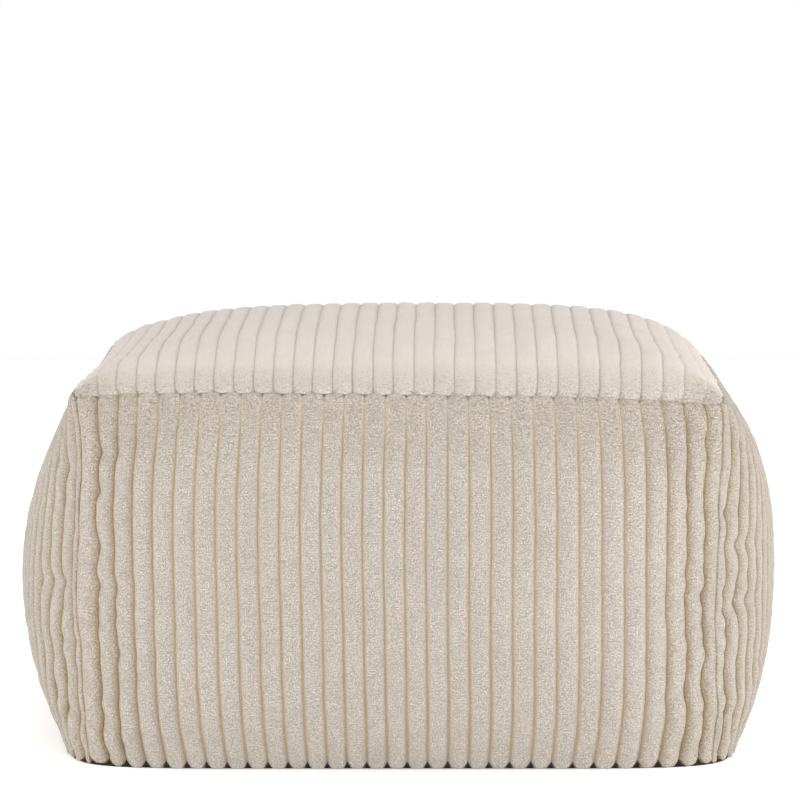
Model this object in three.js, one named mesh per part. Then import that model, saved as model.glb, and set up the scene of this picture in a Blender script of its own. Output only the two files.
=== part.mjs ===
// Bean bag footstool: a low square cover of wide-ribbed corduroy over a soft bead fill.
//
// A top panel and four side panels of corduroy are sewn edge to edge, and a thin dark cloth
// closes the base. The fill behind each panel belongs to that panel: every side panel is a
// wedge that runs back to the upright middle line of the stool, and the top panel is the
// crown above the top seam. The cut faces lie a fraction of a millimetre apart.
//
// Millimetres, +Z up, -Y is the front. The origin is on the floor below the middle.

import * as THREE from 'three';

// Upright seams: half the distance between them, at the top seam, the belly and the foot.
const CORNER = { top: 209.8, belly: 208.5, foot: 205.5 };
// Half width over the middle of a side panel, measured in the grooves between the ribs.
const REACH = { top: 213, belly: 255, foot: 222 };
const BELLY_LEVEL = 0.46;     // height of the widest place, as a share of the seam height
const UPPER_CURVE = 2.3;      // how late the side draws in above the belly
const LOWER_CURVE = 2.6;      // and below it

const SEAM_HEIGHT = 244;      // top seam above the floor, at the middle of the stool
const SEAM_FALL = { x: -0.011, y: -0.002 };   // the seam drops a little towards +X and +Y

const CROWN = 38.5;           // rise of the top panel's grooves over the top seam
const CROWN_FLATNESS = 2.65;  // higher is flatter in the middle
const CROWN_EDGE = 0.62;      // lower is steeper at the seam
const CROWN_HIP = 4;          // higher is a sharper hip from corner to middle
const CROWN_LEAN = 0.06;      // the crown stands a little higher towards +X

const RIB_HEIGHT = 3.2;       // pile ribs over the grooves between them
const SIDE_RIBS = 31;
const TOP_RIBS = 32;
const RIB_END = 6;            // length over which a rib rounds down to a seam
// One rib across: groove, then its two shoulders.
const RIB_SECTION = [
  { place: 0, height: 0 },
  { place: 0.27, height: 0.94 },
  { place: 0.73, height: 0.94 },
];

const SEAM_GAP = 0.3;         // between the faces of neighbouring pieces
const BASE_THICKNESS = 1.5;   // dark woven base cloth
const BASE_INSET = 2.5;       // its edge lies this far inside the foot of the side panels
const BASE_STEPS = 16;        // straight lengths along each side of the base

// Levels of the rows of points up a side panel, as shares of its height.
const SIDE_ROWS = [0, 0.02, 0.09, 0.18, 0.28, 0.38, 0.48, 0.58, 0.68, 0.78, 0.87, 0.94, 0.978, 1];
// Rows of points over one half of the top panel, from its middle to the seam.
const TOP_HALF_ROWS = [0, 0.3, 0.56, 0.75, 0.88, 0.955, 0.988, 1];

// Soft puckers where the tight seams gather the cloth. rib counts from the panel's left
// seam, seen from outside, and depth is how far the cloth dips.
const PUCKER_RIBS = 0.8;      // half width of a pucker across the ribs, in ribs
const PUCKER_TALL = 9;        // half height of a pucker
const PUCKERS = {
  front: [
    { rib: 1.4, height: 208, depth: 3.2 },
    { rib: 1.0, height: 182, depth: 2.4 },
    { rib: 1.2, height: 145, depth: 2.6 },
    { rib: 1.5, height: 120, depth: 3.4 },
    { rib: 2.0, height: 78, depth: 2.2 },
    { rib: 29.9, height: 221, depth: 2.4 },
    { rib: 30.2, height: 169, depth: 2.6 },
    { rib: 29.5, height: 132, depth: 3.2 },
    { rib: 29.6, height: 91, depth: 3.0 },
    { rib: 30.0, height: 66, depth: 2.2 },
    { rib: 30.2, height: 27, depth: 2.6 },
  ],
  right: [
    { rib: 1.2, height: 172, depth: 2.6 },
    { rib: 2.6, height: 145, depth: 3.4 },
    { rib: 2.2, height: 106, depth: 3.2 },
    { rib: 2.0, height: 34, depth: 2.4 },
    { rib: 29.8, height: 196, depth: 2.6 },
    { rib: 29.4, height: 128, depth: 3.0 },
    { rib: 30.0, height: 74, depth: 2.6 },
  ],
  back: [
    { rib: 1.3, height: 201, depth: 2.8 },
    { rib: 1.6, height: 138, depth: 3.2 },
    { rib: 1.1, height: 84, depth: 2.6 },
    { rib: 29.7, height: 187, depth: 2.8 },
    { rib: 29.4, height: 112, depth: 3.2 },
    { rib: 30.1, height: 52, depth: 2.4 },
  ],
  left: [
    { rib: 1.2, height: 190, depth: 2.6 },
    { rib: 1.6, height: 116, depth: 3.0 },
    { rib: 1.3, height: 61, depth: 2.4 },
    { rib: 29.6, height: 196, depth: 2.6 },
    { rib: 28.9, height: 121, depth: 3.2 },
    { rib: 29.8, height: 58, depth: 2.4 },
  ],
};

const CORD_CLOTH = { color: 0xd0c5b9, roughness: 0.95, metalness: 0 };
const BASE_CLOTH = { color: 0x241c12, roughness: 0.9, metalness: 0 };

// Half depth of a level section of the stool: a superellipse through the upright seam at
// (corner, corner) and through the middle of the panel at (0, reach).
function sectionDepth(across, corner, reach) {
  const power = Math.LN2 / Math.log(reach / corner);
  return (reach ** power - Math.abs(across) ** power) ** (1 / power);
}

// A size that changes up the side: its belly value, easing to its top or foot value.
function sizeAtLevel(sizes, level) {
  if (level > BELLY_LEVEL) {
    const share = (level - BELLY_LEVEL) / (1 - BELLY_LEVEL);
    return sizes.belly + (sizes.top - sizes.belly) * share ** UPPER_CURVE;
  }
  const share = (BELLY_LEVEL - level) / BELLY_LEVEL;
  return sizes.belly + (sizes.foot - sizes.belly) * share ** LOWER_CURVE;
}

// The plane that the top seam lies in. fall is its slope in the axes that x and y use.
function seamPlane(x, y, fall) {
  return SEAM_HEIGHT + fall.x * x + fall.y * y;
}

// Share of its full height that a rib has at a distance from its sewn end: a quarter round.
function ribEnd(distance) {
  const short = 1 - Math.min(distance / RIB_END, 1);
  return Math.sqrt(1 - short * short);
}

// Parameters from -1 to 1 that divide the curve pointAt(parameter) into equal lengths.
// The fine steps are closer at both ends, where the curve is steepest.
function evenParameters(pointAt, count) {
  const fineSteps = 400;
  const parameters = [];
  const lengths = [];
  let length = 0;
  let last = pointAt(-1);
  for (let step = 0; step <= fineSteps; step += 1) {
    const parameter = -Math.cos(Math.PI * step / fineSteps);
    const point = pointAt(parameter);
    length += point.distanceTo(last);
    parameters.push(parameter);
    lengths.push(length);
    last = point;
  }
  const even = [];
  let step = 0;
  for (let part = 0; part <= count; part += 1) {
    const target = Math.min(length * part / count, length);
    while (step < fineSteps - 1 && lengths[step + 1] < target) {
      step += 1;
    }
    const share = (target - lengths[step]) / (lengths[step + 1] - lengths[step]);
    even.push(parameters[step] + (parameters[step + 1] - parameters[step]) * Math.min(share, 1));
  }
  even[0] = -1;
  even[count] = 1;
  return even;
}

// The columns of points across a panel: where each stands, counted in ribs from its left
// seam, and how high the pile is there. The last groove is the right-hand seam.
function ribColumns(ribs) {
  const columns = [];
  for (let rib = 0; rib < ribs; rib += 1) {
    for (const { place, height } of RIB_SECTION) {
      columns.push({ rib: rib + place, height: height * RIB_HEIGHT });
    }
  }
  columns.push({ rib: ribs, height: 0 });
  return columns;
}

// Reads a parameter between the evenly spaced grooves of a row.
function between(grooves, rib) {
  const left = Math.min(Math.floor(rib), grooves.length - 2);
  return grooves[left] + (grooves[left + 1] - grooves[left]) * (rib - left);
}

// How far the cloth dips at a place, with all of a panel's puckers added together.
function puckerDepth(puckers, rib, height) {
  let depth = 0;
  for (const pucker of puckers) {
    const across = (rib - pucker.rib) / PUCKER_RIBS;
    const up = (height - pucker.height) / PUCKER_TALL;
    depth += pucker.depth * Math.exp(-across * across - up * up);
  }
  return depth;
}

// Outward unit normal of surfaceAt(a, b), whose a runs right and b runs up or back, seen
// from outside. The steps stay inside -1 to 1 for a and lowest to 1 for b.
function outwardNormal(surfaceAt, a, b, lowest) {
  const step = 1e-4;
  const right = surfaceAt(Math.min(a + step, 1), b).sub(surfaceAt(Math.max(a - step, -1), b));
  const ahead = surfaceAt(a, Math.min(b + step, 1)).sub(surfaceAt(a, Math.max(b - step, lowest)));
  return right.cross(ahead).normalize();
}

// A closed body from rows of outer points, first row lowest or nearest, each row running
// right as seen from outside, and the inner points that close it.
class Body {
  constructor() {
    this.positions = [];
    this.triangles = [];
  }

  addPoint(point) {
    this.positions.push(point.x, point.y, point.z);
    return this.positions.length / 3 - 1;
  }

  addQuad(a, b, c, d) {
    this.triangles.push(a, b, c, a, c, d);
  }

  addRows(rows) {
    const indices = rows.map((row) => row.map((point) => this.addPoint(point)));
    for (let row = 0; row < indices.length - 1; row += 1) {
      const near = indices[row];
      const far = indices[row + 1];
      for (let column = 0; column < near.length - 1; column += 1) {
        this.addQuad(near[column], near[column + 1], far[column + 1], far[column]);
      }
    }
    return indices;
  }

  // Triangles from one inner point to each step of an edge.
  addFan(centre, edge) {
    for (let step = 0; step < edge.length - 1; step += 1) {
      this.triangles.push(centre, edge[step + 1], edge[step]);
    }
  }

  geometry() {
    const geometry = new THREE.BufferGeometry();
    geometry.setAttribute('position', new THREE.Float32BufferAttribute(this.positions, 3));
    geometry.setIndex(this.triangles);
    geometry.computeVertexNormals();
    return geometry;
  }
}

// A side panel with the fill behind it, facing -Y. fall is the top seam's slope in the
// panel's own axes.
function sidePanelGeometry(puckers, fall) {
  const foot = BASE_THICKNESS + SEAM_GAP;
  const heightOf = (x, y, level) => (
    foot + (seamPlane(x, y, fall) - SEAM_GAP / 2 - foot) * level
  );
  const surfaceAt = (across, level) => {
    const corner = sizeAtLevel(CORNER, level);
    const x = corner * across;
    const y = -sectionDepth(x, corner, sizeAtLevel(REACH, level));
    return new THREE.Vector3(x, y, heightOf(x, y, level));
  };
  const columns = ribColumns(SIDE_RIBS);
  const lastColumn = columns.length - 1;
  const outerRow = (level) => {
    const grooves = evenParameters((across) => surfaceAt(across, level), SIDE_RIBS);
    return columns.map(({ rib, height }, column) => {
      const across = between(grooves, rib);
      const point = surfaceAt(across, level);
      const onSeam = column === 0 || column === lastColumn;
      if (onSeam || level === 0 || level === 1) {
        return point;
      }
      const toSeam = Math.min(point.z - foot, SEAM_HEIGHT - point.z);
      const pile = height * ribEnd(Math.max(toSeam, 0));
      const lift = pile - puckerDepth(puckers, rib, point.z);
      return point.addScaledVector(outwardNormal(surfaceAt, across, level, 0), lift);
    });
  };
  const middlePoint = (level) => new THREE.Vector3(0, 0, heightOf(0, 0, level));

  const body = new Body();
  const rows = body.addRows(SIDE_ROWS.map(outerRow));
  const middle = SIDE_ROWS.map((level) => body.addPoint(middlePoint(level)));
  const lastRow = rows.length - 1;
  for (let row = 0; row < lastRow; row += 1) {
    body.addQuad(middle[row], rows[row][0], rows[row + 1][0], middle[row + 1]);
    body.addQuad(rows[row][lastColumn], middle[row], middle[row + 1], rows[row + 1][lastColumn]);
  }
  body.addFan(middle[0], rows[0]);
  body.addFan(middle[lastRow], rows[lastRow].slice().reverse());
  return body.geometry();
}

// The top panel: a crown with soft hips over the top seam, its ribs running front to back,
// closed below by the plane of the seam.
function topPanelGeometry() {
  const { top: corner } = CORNER;
  const { top: reach } = REACH;
  const floorAt = (x, y) => seamPlane(x, y, SEAM_FALL) + SEAM_GAP / 2;
  const crownAt = (across, back) => {
    const left = 1 - Math.abs(across);
    const near = 1 - Math.abs(back);
    if (left <= 0 || near <= 0) {
      return 0;
    }
    const inward = (left ** -CROWN_HIP + near ** -CROWN_HIP) ** (-1 / CROWN_HIP);
    const rise = (1 - (1 - inward) ** CROWN_FLATNESS) ** CROWN_EDGE;
    return CROWN * (1 + CROWN_LEAN * across) * rise;
  };
  const surfaceAt = (across, back) => {
    const x = across * sectionDepth(corner * back, corner, reach);
    const y = back * sectionDepth(corner * across, corner, reach);
    return new THREE.Vector3(x, y, floorAt(x, y) + crownAt(across, back));
  };
  const columns = ribColumns(TOP_RIBS);
  const lastColumn = columns.length - 1;
  const grooves = evenParameters((across) => surfaceAt(across, 0), TOP_RIBS);
  const row = (back) => columns.map(({ rib, height }, column) => {
    const across = between(grooves, rib);
    const point = surfaceAt(across, back);
    if (column === 0 || column === lastColumn || Math.abs(back) === 1) {
      return point;
    }
    const pile = height * ribEnd((1 - Math.abs(back)) * reach);
    return point.addScaledVector(outwardNormal(surfaceAt, across, back, -1), pile);
  });
  const front = TOP_HALF_ROWS.slice(1).reverse().map((share) => -share);

  const body = new Body();
  const rows = body.addRows([...front, ...TOP_HALF_ROWS].map(row));
  const centre = body.addPoint(new THREE.Vector3(0, 0, floorAt(0, 0)));
  body.addFan(centre, rows[0]);
  body.addFan(centre, rows.map((points) => points[lastColumn]));
  body.addFan(centre, rows[rows.length - 1].slice().reverse());
  body.addFan(centre, rows.map((points) => points[0]).reverse());
  return body.geometry();
}

// The base cloth: a flat sheet with the outline of the foot, a little inside it.
function basePanelGeometry() {
  const corner = CORNER.foot - BASE_INSET;
  const reach = REACH.foot - BASE_INSET;
  const outline = new THREE.Shape();
  for (let side = 0; side < 4; side += 1) {
    for (let step = 0; step < BASE_STEPS; step += 1) {
      const across = corner * (2 * step / BASE_STEPS - 1);
      const point = new THREE.Vector2(across, -sectionDepth(across, corner, reach));
      point.rotateAround(new THREE.Vector2(0, 0), side * Math.PI / 2);
      if (side === 0 && step === 0) {
        outline.moveTo(point.x, point.y);
      } else {
        outline.lineTo(point.x, point.y);
      }
    }
  }
  outline.closePath();
  return new THREE.ExtrudeGeometry(outline, { depth: BASE_THICKNESS, bevelEnabled: false });
}

function piece(name, geometry, finish) {
  const mesh = new THREE.Mesh(geometry, new THREE.MeshStandardMaterial(finish));
  mesh.name = name;
  return mesh;
}

// A side panel turned to its side and drawn outwards by its share of the seam gap.
function sidePanel(side, turn) {
  const cos = Math.cos(turn);
  const sin = Math.sin(turn);
  const fall = {
    x: SEAM_FALL.x * cos + SEAM_FALL.y * sin,
    y: SEAM_FALL.y * cos - SEAM_FALL.x * sin,
  };
  const mesh = piece(`${side}_panel`, sidePanelGeometry(PUCKERS[side], fall), CORD_CLOTH);
  const outwards = SEAM_GAP / Math.SQRT2;
  mesh.rotation.z = turn;
  mesh.position.set(outwards * sin, -outwards * cos, 0);
  return mesh;
}

const stool = new THREE.Group();
stool.add(piece('base_panel', basePanelGeometry(), BASE_CLOTH));
['front', 'right', 'back', 'left'].forEach((side, index) => {
  stool.add(sidePanel(side, index * Math.PI / 2));
});
stool.add(piece('top_panel', topPanelGeometry(), CORD_CLOTH));

export default stool;
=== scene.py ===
"""Bean bag footstool: a square cover of wide-ribbed corduroy, stuffed and sewn shut over a
base cloth.

Everything is in metres, +Z up, with the front towards -Y and the floor at zero.
"""

import math

import bpy
import numpy as np
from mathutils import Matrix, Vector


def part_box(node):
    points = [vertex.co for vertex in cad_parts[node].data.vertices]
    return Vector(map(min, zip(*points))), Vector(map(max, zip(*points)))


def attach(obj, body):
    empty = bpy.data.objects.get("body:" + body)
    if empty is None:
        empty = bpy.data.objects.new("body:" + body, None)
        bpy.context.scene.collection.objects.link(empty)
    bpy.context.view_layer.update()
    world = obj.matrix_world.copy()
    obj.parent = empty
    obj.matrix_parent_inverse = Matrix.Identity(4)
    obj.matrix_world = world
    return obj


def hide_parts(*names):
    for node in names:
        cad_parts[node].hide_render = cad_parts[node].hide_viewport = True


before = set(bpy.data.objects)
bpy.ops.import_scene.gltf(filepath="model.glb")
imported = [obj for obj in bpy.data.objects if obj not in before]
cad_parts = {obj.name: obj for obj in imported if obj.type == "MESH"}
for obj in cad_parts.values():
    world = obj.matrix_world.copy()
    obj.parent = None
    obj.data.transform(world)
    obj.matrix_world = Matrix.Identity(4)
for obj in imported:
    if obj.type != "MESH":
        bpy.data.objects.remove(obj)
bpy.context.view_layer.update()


# ------------------------------------------------
# Base cloth. One square of thin dark brown plain weave under the fill. It lies flat on the
# floor and is sewn to the four side panels at the foot, so only its edge shows between
# the ends of the ribs.

base_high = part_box("base_panel")[1]
BASE_SPREAD = 0.0027           # the cloth reaches this far past its solid
BASE_REACH = base_high.x + BASE_SPREAD  # half width over the middle of a side
BASE_CORNER = 0.2048           # half distance between the rounded corners
BASE_SHIFT = -0.0015           # it lies with the foot, a little to -X
BASE_TOP = base_high.z
BASE_STEPS = 80                # grid steps each way
BASE_THREAD = 0.0011           # between two threads of the weave
BASE_FUZZ = 900.0              # fibres to the metre
BASE_PATCHES = 25.0            # and uneven patches
BASE_RELIEF = 0.0003           # threads over the gaps between them
BASE_DARK = (0.0190, 0.0125, 0.0045, 1)
BASE_LIGHT = (0.0440, 0.0300, 0.0120, 1)


def section_depth(across, corner, reach):
    """Half depth of a level section of the footstool: the superellipse that passes
    through the corner seam at (corner, corner) and the mid-panel at (0, reach)."""
    power = math.log(2) / np.log(reach / corner)
    return (reach**power - np.abs(across) ** power) ** (1 / power)


def square_to_section(across, back, corner, reach):
    """Spreads a square of parameters, both from -1 to 1, over a level section: x is the
    share across times the section's half width at that depth, and y the other way round."""
    x = across * section_depth(corner * back, corner, reach)
    y = back * section_depth(corner * across, corner, reach)
    return x, y


def grid_faces(index):
    """The quads of a grid of vertex numbers whose columns run right and rows run up, seen
    from outside."""
    corners = (index[:-1, :-1], index[:-1, 1:], index[1:, 1:], index[1:, :-1])
    return np.stack([corner.ravel() for corner in corners], axis=1)


def fan_faces(centre, edge):
    """Triangles from one vertex to each step of an edge that runs right to left from
    outside."""
    return np.stack([np.full(len(edge) - 1, centre), edge[1:], edge[:-1]], axis=1)


def make_mesh(name, points, *faces):
    """A smooth mesh object from an array of points and arrays of quads or triangles."""
    mesh = bpy.data.meshes.new(name)
    mesh.from_pydata(points, [], [face for group in faces for face in group.tolist()])
    mesh.shade_smooth()
    piece = bpy.data.objects.new(name, mesh)
    bpy.context.scene.collection.objects.link(piece)
    return piece


def set_cloth_map(piece, across, along):
    """A UV map in metres of cloth: along the weft and along the ribs, for each vertex."""
    corners = np.empty(len(piece.data.loops), dtype=np.int32)
    piece.data.loops.foreach_get("vertex_index", corners)
    layer = piece.data.uv_layers.new(name="cloth")
    layer.data.foreach_set("uv", np.stack([across, along], axis=1)[corners].ravel())


class Shader:
    """Builds one material. number, colour and vector sockets come back wrapped, so that
    plain expressions on numbers add Math nodes."""

    def __init__(self, name):
        self.material = bpy.data.materials.new(name)
        self.material.use_nodes = True
        self.tree = self.material.node_tree
        self.surface = self.tree.nodes["Principled BSDF"]

    def node(self, kind, settings=None, output=0, **inputs):
        """Adds a node, with its settings first and then its sockets' values or links. A
        socket is named with _ for a space, or i and its number."""
        made = self.tree.nodes.new("ShaderNode" + kind)
        for key, value in (settings or {}).items():
            setattr(made, key, value)
        for key, value in inputs.items():
            self.set(made, int(key[1:]) if key[1:].isdigit() else key.replace("_", " "), value)
        return Number(self, made.outputs[output])

    def set(self, node, socket, value):
        """Links or sets one socket of a node."""
        if isinstance(value, Number):
            self.tree.links.new(value.socket, node.inputs[socket])
        else:
            node.inputs[socket].default_value = value

    def finish(self, **inputs):
        """Sets the surface's own sockets, and returns the material."""
        for key, value in inputs.items():
            self.set(self.surface, key.replace("_", " "), value)
        return self.material

    def cloth_map(self):
        """The piece's own map, in metres of cloth."""
        return self.node("UVMap", {"uv_map": "cloth"})

    def attribute(self, name):
        """A number that the piece keeps at each vertex."""
        return self.node("Attribute", {"attribute_name": name}, output=2)

    def noise(self, vector, scale, detail=2.0, roughness=0.5):
        """Soft noise from 0 to 1, scale features to the metre."""
        return self.node(
            "TexNoise", Vector=vector, Scale=scale, Detail=detail, Roughness=roughness
        )

    def stretched(self, vector, across, along):
        """A map with its two directions scaled apart."""
        scales = (across, along, 1.0)
        return self.node("VectorMath", {"operation": "MULTIPLY"}, i0=vector, i1=scales)

    def mix(self, share, first, second):
        """A colour between two, by a share from 0 to 1."""
        colour = {"data_type": "RGBA"}
        return self.node("Mix", colour, output=2, i0=share, i6=first, i7=second)

    def ramp(self, value, low, high):
        """0 below low, 1 above high and smooth between."""
        settings = {"interpolation_type": "SMOOTHSTEP"}
        return self.node("MapRange", settings, Value=value, From_Min=low, From_Max=high)

    def bump(self, height, distance):
        """A normal raised by height, a number from 0 to 1, times distance in metres."""
        return self.node("Bump", Height=height, Distance=distance)


class Number:
    """A socket in an expression. Each operator adds one Math node."""

    def __init__(self, shader, socket):
        self.shader = shader
        self.socket = socket

    def math(self, operation, first, second=0.0):
        """One Math node on two numbers or sockets."""
        return self.shader.node("Math", {"operation": operation}, i0=first, i1=second)

    def __add__(self, other):
        return self.math("ADD", self, other)

    __radd__ = __add__

    def __mul__(self, other):
        return self.math("MULTIPLY", self, other)

    __rmul__ = __mul__

    def __sub__(self, other):
        return self.math("SUBTRACT", self, other)

    def __rsub__(self, other):
        return self.math("SUBTRACT", other, self)


def base_cloth_finish():
    """Dark plain weave: threads over and under each other, slightly uneven in tone."""
    cloth = Shader("Dark base cloth")
    place = cloth.node("TexCoord", output=3)
    threads = cloth.node("TexChecker", Vector=place, Scale=1 / BASE_THREAD, output=1)
    fuzz = cloth.noise(place, BASE_FUZZ, detail=3.0)
    patches = cloth.noise(place, BASE_PATCHES)
    tone = threads * 0.45 + fuzz * 0.35 + patches * 0.2
    return cloth.finish(
        Base_Color=cloth.mix(tone, BASE_DARK, BASE_LIGHT),
        Roughness=0.92,
        Normal=cloth.bump(threads * 0.6 + fuzz * 0.4, BASE_RELIEF),
        Specular_IOR_Level=0.2,
    )


def make_base():
    """A closed slab: the section of the foot on a grid, once as the upper and once as the
    under side, joined by a strip round the edge. Gives the piece and its flat area, which
    is half the sum of cross products along the edge."""
    place = np.linspace(-1, 1, BASE_STEPS + 1)
    x, y = square_to_section(place[None, :], place[:, None], BASE_CORNER, BASE_REACH)
    x = x + BASE_SHIFT
    under = np.stack([x, y, np.zeros_like(x)], axis=2).reshape(-1, 3)
    upper = under + (0, 0, BASE_TOP)
    index = np.arange(len(under)).reshape(x.shape)
    rim = np.concatenate([index[0, :-1], index[:-1, -1], index[-1, :0:-1], index[::-1, 0]])
    piece = make_mesh(
        "base_cloth",
        np.concatenate([under, upper]),
        grid_faces(index[:, ::-1]),
        grid_faces(index + index.size),
        grid_faces(np.stack([rim, rim + index.size])),
    )
    piece.data.materials.append(base_cloth_finish())
    x, y = under[rim, 0], under[rim, 1]
    area = np.sum(x * np.roll(y, -1) - np.roll(x, -1) * y) / 2
    return piece, area


base, base_area = make_base()
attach(base, "root")
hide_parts("base_panel")


# ------------------------------------------------
# The sewn and stuffed cover. Five corduroy panels are sewn along eight seams into a bag
# that the bead fill pushes out, most at the belly and least at the stiff seams. Its form
# is worked out first, and then a cloth simulation lets the fill press on the sewn bag.

front_low, front_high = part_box("front_panel")
top_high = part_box("top_panel")[1]
RIB_HEIGHT = 0.0032            # pile ribs over their grooves
RIB_PITCH = 0.014
# Half the distance between two corner seams, and half the width over a mid-panel. Each
# eases from its belly size towards the foot by the power "curve".
CORNER = {"top": front_high.x, "belly": 0.2072, "foot": 0.2030, "curve": 5.5}
REACH = {
    "top": top_high.y, "belly": -front_low.y - RIB_HEIGHT, "foot": 0.2220, "curve": 2.2,
}
BELLY_LEVEL = 0.46             # the widest place, as a share of the height
UPPER_CURVE = 2.05             # power of the ease from there to the top
BELLY_LEAN = -0.0029           # how far towards +X the belly lies,
TOP_LEAN = -0.0012             # the top seam
FOOT_LEAN = BASE_SHIFT         # and the foot
BELLY_LEAN_CURVE = 1.3         # power of the belly's sine
TOP_TWIST = 0.011              # turn of the top, in radians
SHOULDER_LEAN = 0.0024         # how far the sides go to +X just below the top
SHOULDER_SCALE = 17.6          # brings level**6 * (1 - level) to 1 at most
TOP_FLATTER = (0.0062, 0.001)  # the top seam bows out less at -X and at +X
CORNER_FALL = 0.0038           # the top seam drops this much at its corners
FOOT_GAP = 0.0003              # between the base cloth and the foot seam
FOOT = BASE_TOP + FOOT_GAP
SEAM_HEIGHT = 0.2440           # top seam above the floor, at the middle
SEAM_FALL = (-0.011, -0.002)   # its slope towards +X and +Y
CROWN = top_high.z - SEAM_HEIGHT - RIB_HEIGHT
CROWN_FLATNESS = (3.20, 0.50)  # in the middle, and more towards +X
CROWN_EDGE = 0.80              # below 1 the crown is steeper at its edge
CROWN_HIP = 4.0                # lower is softer where two edges meet
CROWN_LEAN = 0.07              # share by which it is higher at +X
ON_SEAM = 1e-6                 # a share below this is on the seam
SIDE_TURNS = {"front": 0, "right": 1, "back": 2, "left": 3}  # quarter turns
CAGE_ACROSS = 64               # grid steps across a panel of the bag
CAGE_UP = 36                   # and up a side panel
LENGTH_STEPS = 801             # in a table of a section's curved length


def bell(distance, width):
    """1 at no distance and 0 far off: e to the power of minus the squared distance in
    widths."""
    return np.exp(-((distance / width) ** 2))


def fade(distance, length):
    """1 at no distance and 0 far off: e to the power of minus the distance in lengths."""
    return np.exp(-distance / length)


def size_at_level(sizes, level):
    """A size that changes up the side: its belly value, eased to the top and foot values
    by a power of the share of the way there."""
    above = np.clip((level - BELLY_LEVEL) / (1 - BELLY_LEVEL), 0, 1) ** UPPER_CURVE
    below = np.clip((BELLY_LEVEL - level) / BELLY_LEVEL, 0, 1) ** sizes["curve"]
    belly = sizes["belly"]
    return belly + (sizes["top"] - belly) * above + (sizes["foot"] - belly) * below


def even_across(share, corner, reach):
    """Parameters from -1 to 1 across a section, at shares of its curved length. Each is
    read from a fine table of that length."""
    across = np.linspace(-1, 1, LENGTH_STEPS)
    depth = section_depth(corner * across, corner, reach)
    steps = np.hypot(np.diff(corner * across), np.diff(depth))
    length = np.concatenate([[0], np.cumsum(steps)])
    return np.interp(share * length[-1], length, across)


def turned(x, y, quarters):
    """A point turned by quarter turns about the upright middle line."""
    for _ in range(quarters):
        x, y = -y, x
    return x, y


def seam_plane(x, y):
    """Height of the sloping sheet that the top seam lies in, lower at its four corners."""
    fall = CORNER_FALL * (x * y / CORNER["top"] ** 2) ** 4
    return SEAM_HEIGHT + SEAM_FALL[0] * x + SEAM_FALL[1] * y - fall


def leaned(x, y, level):
    """Moves the points of a level section. The stuffed bag leans by a sine at its belly and
    by squares of the level at its top and foot, and its top is twisted. The left and right
    sides alone, by the fourth power of x, go over below the top and are flatter at it."""
    twist = TOP_TWIST * level**2
    lean = BELLY_LEAN * np.sin(np.pi * level) ** BELLY_LEAN_CURVE + TOP_LEAN * level**2
    lean = lean + FOOT_LEAN * (1 - level) ** 2
    side = (x / CORNER["top"]) ** 4
    shoulder = SHOULDER_LEAN * SHOULDER_SCALE * level**6 * (1 - level) * side
    flatter = np.where(x < 0, TOP_FLATTER[0], -TOP_FLATTER[1])
    flatter = flatter * side * level**12 * np.clip(1 - (y / CORNER["top"]) ** 2, 0, 1)
    return x + twist * y + lean + shoulder + flatter, y - twist * x


def side_form(quarters, share, level):
    """Points of a side panel: share is a grid of shares of the way across it, from its
    left seam, and level a column of shares of the way up."""
    corner = size_at_level(CORNER, level)
    reach = size_at_level(REACH, level)
    rows = zip(share, corner.ravel(), reach.ravel())
    across = np.array([even_across(*row) for row in rows]) * corner
    x, y = turned(across, -section_depth(across, corner, reach), quarters)
    z = FOOT + (seam_plane(x, y) - FOOT) * level
    return np.stack([*leaned(x, y, level), z], axis=2)


def top_form(across, back):
    """Points of the top panel: the crown rises from its square seam by a power of the
    distance inwards, with soft hips where two edges meet."""
    x, y = square_to_section(across, back, CORNER["top"], REACH["top"])
    left = np.maximum(1 - np.abs(across), ON_SEAM)
    near = np.maximum(1 - np.abs(back), ON_SEAM)
    inward = (left**-CROWN_HIP + near**-CROWN_HIP) ** (-1 / CROWN_HIP)
    flatness = CROWN_FLATNESS[0] + CROWN_FLATNESS[1] * across
    rise = (1 - (1 - inward) ** flatness) ** CROWN_EDGE
    rise = np.where(np.minimum(left, near) > 2 * ON_SEAM, rise, 0)
    z = seam_plane(x, y) + CROWN * (1 + CROWN_LEAN * across) * rise
    return np.stack([*leaned(x, y, 1.0), z], axis=2)


def sewn_bag():
    """The bag before it is stuffed: a grid of points for each panel and the base, evenly
    spaced along the seams, where neighbours have the same points."""
    share = np.linspace(0, 1, CAGE_ACROSS + 1)
    level = np.linspace(0, 1, CAGE_UP + 1)[:, None]
    shares = np.tile(share, (CAGE_UP + 1, 1))
    grids = {side: side_form(turns, shares, level) for side, turns in SIDE_TURNS.items()}
    seam = even_across(share, CORNER["top"], REACH["top"])
    grids["top"] = top_form(seam[None, :], seam[:, None])
    foot = even_across(share, CORNER["foot"], REACH["foot"])
    x, y = square_to_section(foot[None, :], foot[:, None], CORNER["foot"], REACH["foot"])
    grids["base"] = np.stack([x, y, np.full_like(x, FOOT)], axis=2)[:, ::-1]
    return grids


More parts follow.
